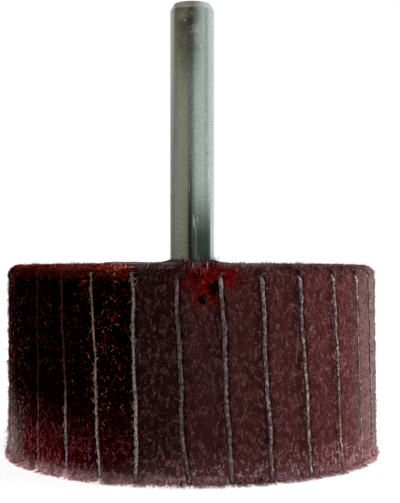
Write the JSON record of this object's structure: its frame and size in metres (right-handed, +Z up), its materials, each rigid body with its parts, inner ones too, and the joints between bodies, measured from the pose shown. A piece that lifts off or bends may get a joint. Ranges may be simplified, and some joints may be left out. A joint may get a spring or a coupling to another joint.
{
  "type": "interleaf flap wheel",
  "caption": "Spindle-mounted flap wheel whose nonwoven web flaps alternate with abrasive cloth flaps round a resin core, for deburring and satin finishing.",
  "frame": {"origin": "centre of the wheel's lower face, on the spindle's axis", "axes": "+Z up the spindle, towards the end that the chuck grips; +X through the middle of the first nonwoven flap"},
  "size_m": [0.0494, 0.0496, 0.0609],
  "materials": {
    "ground_steel": "ground, lightly scratched and tarnished",
    "cast_resin": "poured, satin",
    "nonwoven_web": "open fibre web, grain coated",
    "abrasive_cloth": "coated cloth, gritty, frayed at its edges"
  },
  "bodies": {
    "root": {"spindle": "ground_steel", "resin_core": "cast_resin", "nonwoven_flap_01": "nonwoven_web", "nonwoven_flap_02": "nonwoven_web", "nonwoven_flap_03": "nonwoven_web", "nonwoven_flap_04": "nonwoven_web", "nonwoven_flap_05": "nonwoven_web", "nonwoven_flap_06": "nonwoven_web", "nonwoven_flap_07": "nonwoven_web", "nonwoven_flap_08": "nonwoven_web", "nonwoven_flap_09": "nonwoven_web", "nonwoven_flap_10": "nonwoven_web", "nonwoven_flap_11": "nonwoven_web", "nonwoven_flap_12": "nonwoven_web", "nonwoven_flap_13": "nonwoven_web", "nonwoven_flap_14": "nonwoven_web", "nonwoven_flap_15": "nonwoven_web", "nonwoven_flap_16": "nonwoven_web", "nonwoven_flap_17": "nonwoven_web", "nonwoven_flap_18": "nonwoven_web", "nonwoven_flap_19": "nonwoven_web", "nonwoven_flap_20": "nonwoven_web", "nonwoven_flap_21": "nonwoven_web", "nonwoven_flap_22": "nonwoven_web", "nonwoven_flap_23": "nonwoven_web", "nonwoven_flap_24": "nonwoven_web", "nonwoven_flap_25": "nonwoven_web", "nonwoven_flap_26": "nonwoven_web", "nonwoven_flap_27": "nonwoven_web", "nonwoven_flap_28": "nonwoven_web", "nonwoven_flap_29": "nonwoven_web", "nonwoven_flap_30": "nonwoven_web", "abrasive_flap_pair_01": "abrasive_cloth", "abrasive_flap_pair_02": "abrasive_cloth", "abrasive_flap_pair_03": "abrasive_cloth", "abrasive_flap_pair_04": "abrasive_cloth", "abrasive_flap_pair_05": "abrasive_cloth", "abrasive_flap_pair_06": "abrasive_cloth", "abrasive_flap_pair_07": "abrasive_cloth", "abrasive_flap_pair_08": "abrasive_cloth", "abrasive_flap_pair_09": "abrasive_cloth", "abrasive_flap_pair_10": "abrasive_cloth", "abrasive_flap_pair_11": "abrasive_cloth", "abrasive_flap_pair_12": "abrasive_cloth", "abrasive_flap_pair_13": "abrasive_cloth", "abrasive_flap_pair_14": "abrasive_cloth", "abrasive_flap_pair_15": "abrasive_cloth"}
  },
  "joints": []
}
